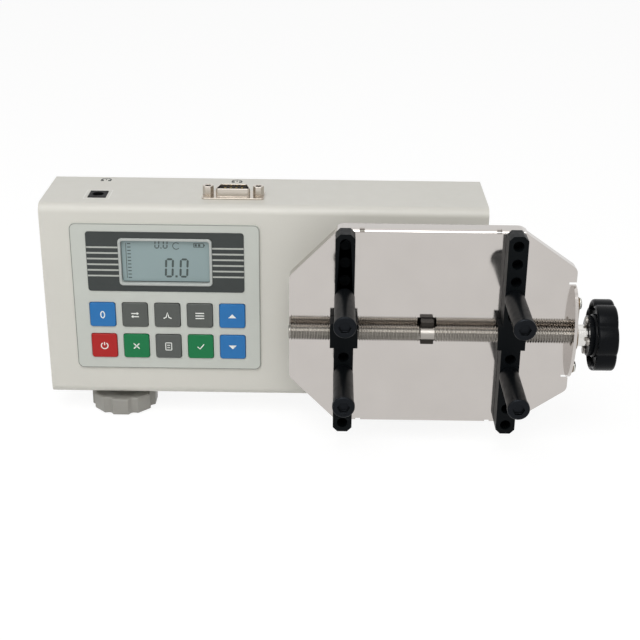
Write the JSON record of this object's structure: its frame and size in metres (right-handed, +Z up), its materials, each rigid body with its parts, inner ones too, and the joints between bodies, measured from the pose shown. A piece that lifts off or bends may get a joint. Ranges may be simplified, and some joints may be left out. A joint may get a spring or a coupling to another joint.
{
  "type": "torque tester",
  "caption": "Upright bench torque tester: keypad and display housing, with a sprung plate whose screw-driven jaws carry posts that grip a bottle or cap.",
  "frame": {"origin": "on the surface it stands on, under the middle of the whole object's width and depth", "axes": "+X to the right seen from the display, +Y to the back, +Z up"},
  "size_m": [0.2776, 0.1212, 0.1213],
  "materials": {
    "housing_paint": "fine cream powder paint on folded sheet steel",
    "panel_film": "satin light grey overlay",
    "dark_film": "satin dark grey print",
    "window_plastic": "light moulded frame",
    "screen_glass": "grey-green liquid crystal",
    "screen_module": "black module housing",
    "circuit_board": "green laminate",
    "black_plastic": "black moulded plastic",
    "brass_parts": "turned brass",
    "bright_steel": "zinc-plated steel",
    "key_blue": "blue key film",
    "key_grey": "grey key film",
    "key_red": "red key film",
    "key_green": "green key film",
    "cell_sleeve": "shrink sleeve on rechargeable cells",
    "plated_steel": "nickel-plated steel",
    "grey_steel": "machined steel",
    "polished_plate": "mirror-polished stainless sheet",
    "bush_bronze": "oiled bronze",
    "screw_steel": "bright threaded steel",
    "knob_plastic": "glossy black moulded plastic",
    "black_oxide": "black oxide steel",
    "jaw_black": "glossy black coated steel",
    "post_black": "black grip sleeve",
    "foot_plastic": "light grey moulded plastic",
    "sole_rubber": "dark rubber"
  },
  "bodies": {
    "housing": {"front_shell": "housing_paint", "rear_cover": "housing_paint", "cover_screws": "bright_steel", "keypad_panel": "panel_film", "display_surround": "dark_film", "window_frame": "window_plastic", "lcd_glass": "screen_glass", "lcd_module": "screen_module", "display_board": "circuit_board", "key_switches": "black_plastic", "board_spacers": "brass_parts", "board_screws": "bright_steel", "battery_cells": "cell_sleeve", "battery_tray": "black_plastic", "power_socket": "black_plastic", "serial_shell": "plated_steel", "serial_insert": "black_plastic", "serial_jackscrews": "plated_steel", "sensor_mount": "grey_steel", "sensor_bridge": "grey_steel", "sensor_screws": "bright_steel", "torque_cell": "grey_steel", "bearing_outer_ring": "bright_steel", "bearing_balls": "bright_steel", "foot_inserts": "bright_steel"},
    "plate": {"torque_plate": "polished_plate", "spindle": "grey_steel", "bearing_inner_ring": "bright_steel", "plate_nuts": "bright_steel", "screw_saddle": "grey_steel", "ear_bush": "bush_bronze", "ear_screws": "bright_steel"},
    "screw": {"lead_screw": "screw_steel", "knob_collar": "screw_steel", "knob_flange": "knob_plastic", "knob_screws": "black_oxide", "knob": "knob_plastic"},
    "left_jaw": {"left_jaw_bar": "jaw_black", "left_posts": "post_black", "left_post_screws": "black_oxide"},
    "right_jaw": {"right_jaw_bar": "jaw_black", "right_posts": "post_black", "right_post_screws": "black_oxide"},
    "left_foot_sole": {"left_foot_pad": "sole_rubber"},
    "right_foot_sole": {"right_foot_pad": "sole_rubber"},
    "left_foot": {"left_foot_knob": "foot_plastic", "left_foot_stud": "bright_steel"},
    "right_foot": {"right_foot_knob": "foot_plastic", "right_foot_stud": "bright_steel"},
    "key_zero": {"key_zero": "key_blue"},
    "key_unit": {"key_unit": "key_grey"},
    "key_peak": {"key_peak": "key_grey"},
    "key_memory": {"key_memory": "key_grey"},
    "key_up": {"key_up": "key_blue"},
    "key_power": {"key_power": "key_red"},
    "key_clear": {"key_clear": "key_green"},
    "key_print": {"key_print": "key_grey"},
    "key_set": {"key_set": "key_green"},
    "key_down": {"key_down": "key_blue"}
  },
  "joints": [
    {"name": "plate_twist", "type": "hinge", "parent": "housing", "child": "plate", "pos_m": [0.05083, -0.01537, 0.0646], "axis": [0, 1, 0], "range_deg": [-1.5, 1.5], "stiffness_Nm_per_rad": 60},
    {"name": "knob_turn", "type": "hinge", "parent": "plate", "child": "screw", "pos_m": [0.05083, -0.02038, 0.0646], "axis": [1, 0, 0], "range_deg": [-8460, 5580]},
    {"name": "left_jaw_slide", "type": "slide", "parent": "plate", "child": "left_jaw", "axis": [-1, 0, 0], "range_m": [-0.02937, 0.01937]},
    {"name": "right_jaw_slide", "type": "slide", "parent": "plate", "child": "right_jaw", "axis": [1, 0, 0], "range_m": [-0.02937, 0.01937]},
    {"name": "key_zero_press", "type": "slide", "parent": "housing", "child": "key_zero", "axis": [0, 1, 0], "range_m": [0, 0.0004], "stiffness_N_per_m": 300},
    {"name": "key_unit_press", "type": "slide", "parent": "housing", "child": "key_unit", "axis": [0, 1, 0], "range_m": [0, 0.0004], "stiffness_N_per_m": 300},
    {"name": "key_peak_press", "type": "slide", "parent": "housing", "child": "key_peak", "axis": [0, 1, 0], "range_m": [0, 0.0004], "stiffness_N_per_m": 300},
    {"name": "key_memory_press", "type": "slide", "parent": "housing", "child": "key_memory", "axis": [0, 1, 0], "range_m": [0, 0.0004], "stiffness_N_per_m": 300},
    {"name": "key_up_press", "type": "slide", "parent": "housing", "child": "key_up", "axis": [0, 1, 0], "range_m": [0, 0.0004], "stiffness_N_per_m": 300},
    {"name": "key_power_press", "type": "slide", "parent": "housing", "child": "key_power", "axis": [0, 1, 0], "range_m": [0, 0.0004], "stiffness_N_per_m": 300},
    {"name": "key_clear_press", "type": "slide", "parent": "housing", "child": "key_clear", "axis": [0, 1, 0], "range_m": [0, 0.0004], "stiffness_N_per_m": 300},
    {"name": "key_print_press", "type": "slide", "parent": "housing", "child": "key_print", "axis": [0, 1, 0], "range_m": [0, 0.0004], "stiffness_N_per_m": 300},
    {"name": "key_set_press", "type": "slide", "parent": "housing", "child": "key_set", "axis": [0, 1, 0], "range_m": [0, 0.0004], "stiffness_N_per_m": 300},
    {"name": "key_down_press", "type": "slide", "parent": "housing", "child": "key_down", "axis": [0, 1, 0], "range_m": [0, 0.0004], "stiffness_N_per_m": 300},
    {"name": "left_foot_reach", "type": "slide", "parent": "housing", "child": "left_foot_sole", "axis": [0, 0, -1], "range_m": [0, 0.00374]},
    {"name": "left_foot_turn", "type": "hinge", "parent": "left_foot_sole", "child": "left_foot", "pos_m": [-0.10418, 0.02962, 0.0006], "axis": [0, 0, 1], "range_deg": [0, 1080]},
    {"name": "right_foot_reach", "type": "slide", "parent": "housing", "child": "right_foot_sole", "axis": [0, 0, -1], "range_m": [0, 0.00374]},
    {"name": "right_foot_turn", "type": "hinge", "parent": "right_foot_sole", "child": "right_foot", "pos_m": [0.04662, 0.02962, 0.0006], "axis": [0, 0, 1], "range_deg": [0, 1080]}
  ],
  "couplings": [
    {"joint": "knob_turn", "follows": "left_jaw_slide", "rad_per_m": 5026.5},
    {"joint": "right_jaw_slide", "follows": "left_jaw_slide", "ratio": 1},
    {"joint": "left_foot_turn", "follows": "left_foot_reach", "rad_per_m": 5026.5},
    {"joint": "right_foot_turn", "follows": "right_foot_reach", "rad_per_m": 5026.5}
  ]
}
